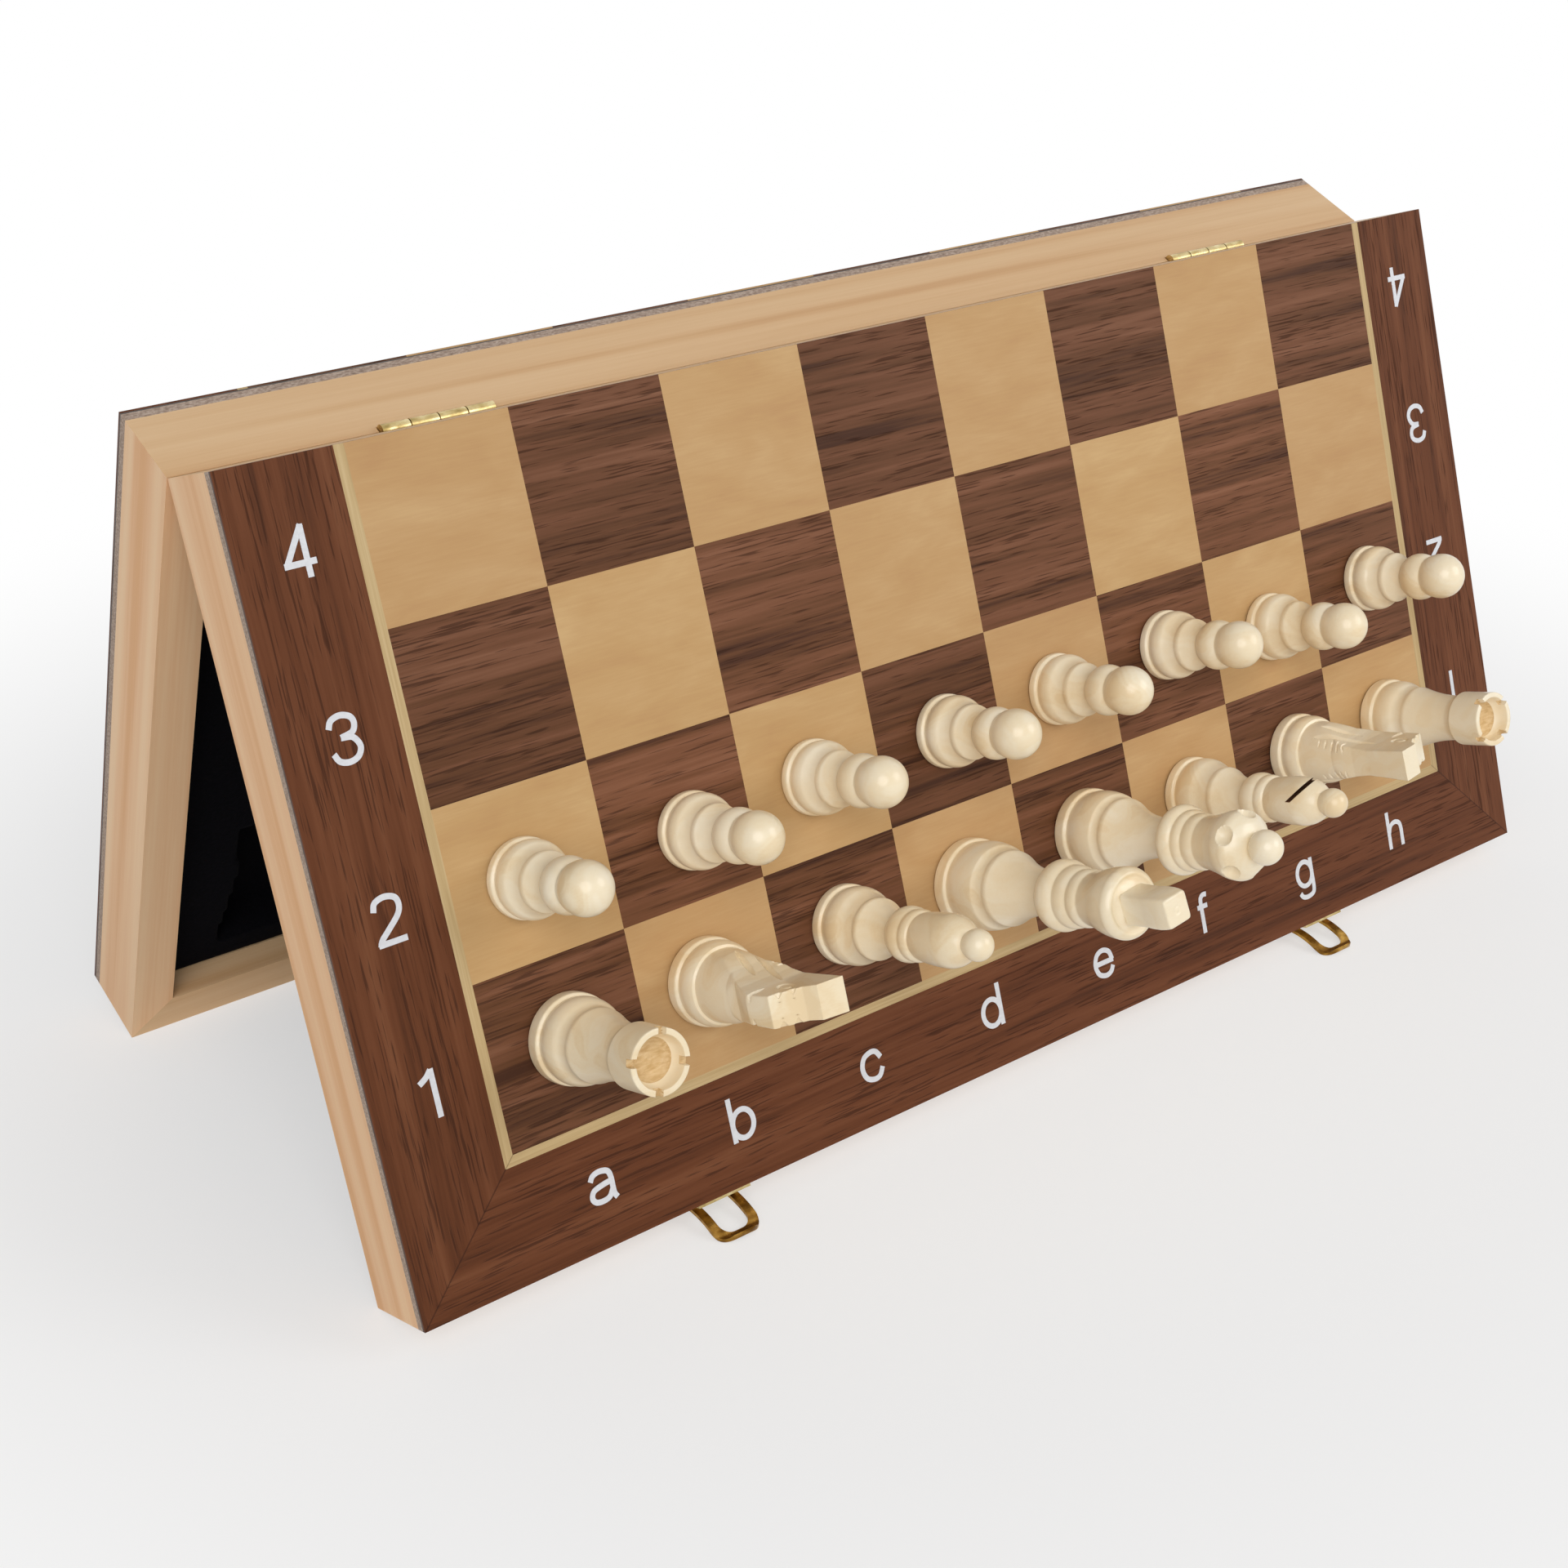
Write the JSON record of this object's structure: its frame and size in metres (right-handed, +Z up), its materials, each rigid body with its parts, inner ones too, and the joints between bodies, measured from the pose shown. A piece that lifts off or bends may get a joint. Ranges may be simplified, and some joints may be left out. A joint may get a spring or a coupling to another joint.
{
  "type": "folding chess board",
  "caption": "Magnetic folding chess case stood open like a tent, with the white men on one playing face; brass hinges at the fold, hook-over clasps and a foam lining.",
  "frame": {"origin": "centre of the footprint, on the floor that the two free edges stand on", "axes": "+X along the fold, +Z up; the playing face with the men faces -Y"},
  "size_m": [0.38, 0.231, 0.1884],
  "materials": {
    "pine": "satin lacquered pine",
    "core_board": "raw fibreboard edge",
    "steel_sheet": "mill",
    "maple": "satin lacquered veneer",
    "walnut": "satin lacquered veneer",
    "inlay_maple": "satin lacquered veneer",
    "foam": "matt foam",
    "brass": "polished",
    "white_man": "gloss lacquered"
  },
  "bodies": {
    "front_half": {"front_core": "core_board", "front_steel": "steel_sheet", "front_light_squares": "maple", "front_dark_squares": "walnut", "front_border": "walnut", "front_inlay": "inlay_maple", "front_fold_rail": "pine", "front_latch_rail": "pine", "front_left_rail": "pine", "front_right_rail": "pine", "front_insert_base": "foam", "front_insert_pockets": "foam", "hinge_leaf_front_left": "brass", "hinge_leaf_front_right": "brass", "hinge_pin_left": "brass", "hinge_pin_right": "brass", "hinge_screws_front": "brass", "clasp_plate_left": "brass", "clasp_plate_right": "brass", "clasp_pins": "brass", "clasp_nails_front": "brass"},
    "back_half": {"back_core": "core_board", "back_steel": "steel_sheet", "back_light_squares": "maple", "back_dark_squares": "walnut", "back_border": "walnut", "back_inlay": "inlay_maple", "back_fold_rail": "pine", "back_latch_rail": "pine", "back_left_rail": "pine", "back_right_rail": "pine", "back_insert_base": "foam", "back_insert_pockets": "foam", "hinge_leaf_back_left": "brass", "hinge_leaf_back_right": "brass", "hinge_screws_back": "brass", "catch_left": "brass", "catch_right": "brass", "clasp_nails_back": "brass"},
    "left_loop": {"clasp_loop_left": "brass"},
    "right_loop": {"clasp_loop_right": "brass"},
    "rook_a1": {"rook_a1": "white_man"},
    "knight_b1": {"knight_b1": "white_man"},
    "bishop_c1": {"bishop_c1": "white_man"},
    "king_d1": {"king_d1": "white_man"},
    "queen_e1": {"queen_e1": "white_man"},
    "bishop_f1": {"bishop_f1": "white_man"},
    "knight_g1": {"knight_g1": "white_man"},
    "rook_h1": {"rook_h1": "white_man"},
    "pawn_a2": {"pawn_a2": "white_man"},
    "pawn_b2": {"pawn_b2": "white_man"},
    "pawn_c2": {"pawn_c2": "white_man"},
    "pawn_d2": {"pawn_d2": "white_man"},
    "pawn_e2": {"pawn_e2": "white_man"},
    "pawn_f2": {"pawn_f2": "white_man"},
    "pawn_g2": {"pawn_g2": "white_man"},
    "pawn_h2": {"pawn_h2": "white_man"}
  },
  "joints": [
    {"name": "fold", "type": "hinge", "parent": "front_half", "child": "back_half", "pos_m": [0, 0.02668, 0.17806], "axis": [1, 0, 0], "range_deg": [-41, 139]},
    {"name": "left_clasp", "type": "hinge", "parent": "front_half", "child": "left_loop", "pos_m": [-0.1085, -0.05106, 0.00198], "axis": [-1, 0, 0], "range_deg": [-155.2, 8.8]},
    {"name": "right_clasp", "type": "hinge", "parent": "front_half", "child": "right_loop", "pos_m": [0.1055, -0.05106, 0.00198], "axis": [-1, 0, 0], "range_deg": [-155.2, 8.8]},
    {"name": "lift_rook_a1", "type": "slide", "parent": "front_half", "child": "rook_a1", "axis": [0, -0.9367, 0.3502], "range_m": [0, 0.04]},
    {"name": "lift_knight_b1", "type": "slide", "parent": "front_half", "child": "knight_b1", "axis": [0, -0.9367, 0.3502], "range_m": [0, 0.04]},
    {"name": "lift_bishop_c1", "type": "slide", "parent": "front_half", "child": "bishop_c1", "axis": [0, -0.9367, 0.3502], "range_m": [0, 0.04]},
    {"name": "lift_king_d1", "type": "slide", "parent": "front_half", "child": "king_d1", "axis": [0, -0.9367, 0.3502], "range_m": [0, 0.04]},
    {"name": "lift_queen_e1", "type": "slide", "parent": "front_half", "child": "queen_e1", "axis": [0, -0.9367, 0.3502], "range_m": [0, 0.04]},
    {"name": "lift_bishop_f1", "type": "slide", "parent": "front_half", "child": "bishop_f1", "axis": [0, -0.9367, 0.3502], "range_m": [0, 0.04]},
    {"name": "lift_knight_g1", "type": "slide", "parent": "front_half", "child": "knight_g1", "axis": [0, -0.9367, 0.3502], "range_m": [0, 0.04]},
    {"name": "lift_rook_h1", "type": "slide", "parent": "front_half", "child": "rook_h1", "axis": [0, -0.9367, 0.3502], "range_m": [0, 0.04]},
    {"name": "lift_pawn_a2", "type": "slide", "parent": "front_half", "child": "pawn_a2", "axis": [0, -0.9367, 0.3502], "range_m": [0, 0.04]},
    {"name": "lift_pawn_b2", "type": "slide", "parent": "front_half", "child": "pawn_b2", "axis": [0, -0.9367, 0.3502], "range_m": [0, 0.04]},
    {"name": "lift_pawn_c2", "type": "slide", "parent": "front_half", "child": "pawn_c2", "axis": [0, -0.9367, 0.3502], "range_m": [0, 0.04]},
    {"name": "lift_pawn_d2", "type": "slide", "parent": "front_half", "child": "pawn_d2", "axis": [0, -0.9367, 0.3502], "range_m": [0, 0.04]},
    {"name": "lift_pawn_e2", "type": "slide", "parent": "front_half", "child": "pawn_e2", "axis": [0, -0.9367, 0.3502], "range_m": [0, 0.04]},
    {"name": "lift_pawn_f2", "type": "slide", "parent": "front_half", "child": "pawn_f2", "axis": [0, -0.9367, 0.3502], "range_m": [0, 0.04]},
    {"name": "lift_pawn_g2", "type": "slide", "parent": "front_half", "child": "pawn_g2", "axis": [0, -0.9367, 0.3502], "range_m": [0, 0.04]},
    {"name": "lift_pawn_h2", "type": "slide", "parent": "front_half", "child": "pawn_h2", "axis": [0, -0.9367, 0.3502], "range_m": [0, 0.04]}
  ]
}
